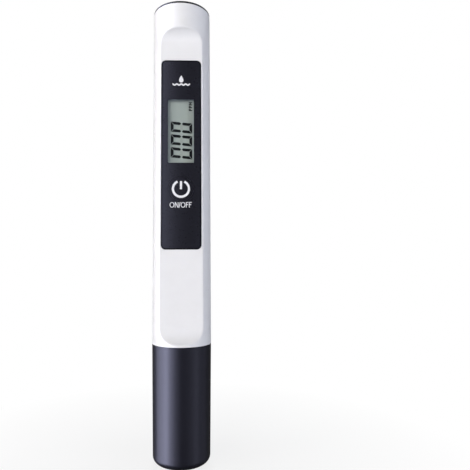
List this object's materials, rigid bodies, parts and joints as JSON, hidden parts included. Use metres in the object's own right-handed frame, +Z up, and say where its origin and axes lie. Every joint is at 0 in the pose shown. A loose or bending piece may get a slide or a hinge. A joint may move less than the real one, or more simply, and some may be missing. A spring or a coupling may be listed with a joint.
{
  "type": "digital water tester",
  "caption": "Pen-shaped digital water tester with a side display, a power key, a screw battery cap and a pull-off cap over its two probes.",
  "frame": {"origin": "middle of the protective cap's flat end", "axes": "+Z up the pen towards the battery cap, -Y the way the display faces, +X to the display's right as seen from the front"},
  "size_m": [0.0194, 0.0194, 0.15],
  "materials": {
    "white_plastic": "moulded, gloss",
    "black_panel": "hard film, gloss",
    "clear_window": "clear, polished",
    "lcd_glass": "reflective grey-green display glass",
    "reflector_foil": "matt foil",
    "soft_rubber": "moulded, satin",
    "seal_silicone": "silicone, satin",
    "frame_plastic": "moulded, fine texture",
    "circuit_board": "solder mask, satin",
    "chip_resin": "moulded resin",
    "nickel_metal": "nickel plated",
    "cell_steel": "drawn steel",
    "brass_metal": "turned",
    "black_plastic": "moulded, gloss",
    "holder_plastic": "moulded, satin",
    "probe_steel": "polished",
    "sensor_resin": "dipped resin",
    "wire_insulation": "extruded insulation"
  },
  "bodies": {
    "meter_body": {"housing": "white_plastic", "front_panel": "black_panel", "display_window": "clear_window", "lcd_front_plate": "lcd_glass", "lcd_rear_plate": "lcd_glass", "lcd_reflector": "reflector_foil", "connector_strips": "soft_rubber", "display_frame": "frame_plastic", "main_board": "circuit_board", "controller_chip": "chip_resin", "memory_chip": "chip_resin", "chip_components": "chip_resin", "clock_crystal": "nickel_metal", "switch_body": "frame_plastic", "inner_frame": "frame_plastic", "board_screws": "nickel_metal", "button_cell_lower": "cell_steel", "button_cell_upper": "cell_steel", "well_contact": "nickel_metal", "side_contact_strip": "nickel_metal", "probe_holder": "holder_plastic", "holder_seal": "seal_silicone", "neck_oring": "soft_rubber", "probe_pin_left": "probe_steel", "probe_pin_right": "probe_steel", "temperature_sensor": "sensor_resin", "probe_wires": "wire_insulation"},
    "protective_cap": {"protective_cap": "black_plastic"},
    "cap_carriage": {"cap_oring": "soft_rubber"},
    "battery_cap": {"battery_cap": "black_plastic", "cap_contact_plate": "nickel_metal", "contact_spring": "nickel_metal", "contact_rivet": "brass_metal"},
    "power_key": {"power_key": "black_panel", "switch_plunger": "frame_plastic"}
  },
  "joints": [
    {"name": "cap_pull", "type": "slide", "parent": "meter_body", "child": "protective_cap", "axis": [0, 0, -1], "range_m": [0, 0.038]},
    {"name": "battery_cap_lift", "type": "slide", "parent": "meter_body", "child": "cap_carriage", "axis": [0, 0, 1], "range_m": [0, 0.0045]},
    {"name": "battery_cap_turn", "type": "hinge", "parent": "cap_carriage", "child": "battery_cap", "pos_m": [0, 0, 0.147], "axis": [0, 0, 1], "range_deg": [0, 1080.5]},
    {"name": "key_press", "type": "slide", "parent": "meter_body", "child": "power_key", "axis": [0, 1, 0], "range_m": [0, 0.0003], "stiffness_N_per_m": 2000, "springref_m": -0.0003}
  ],
  "couplings": [
    {"joint": "battery_cap_turn", "follows": "battery_cap_lift", "rad_per_m": 4188.8}
  ]
}
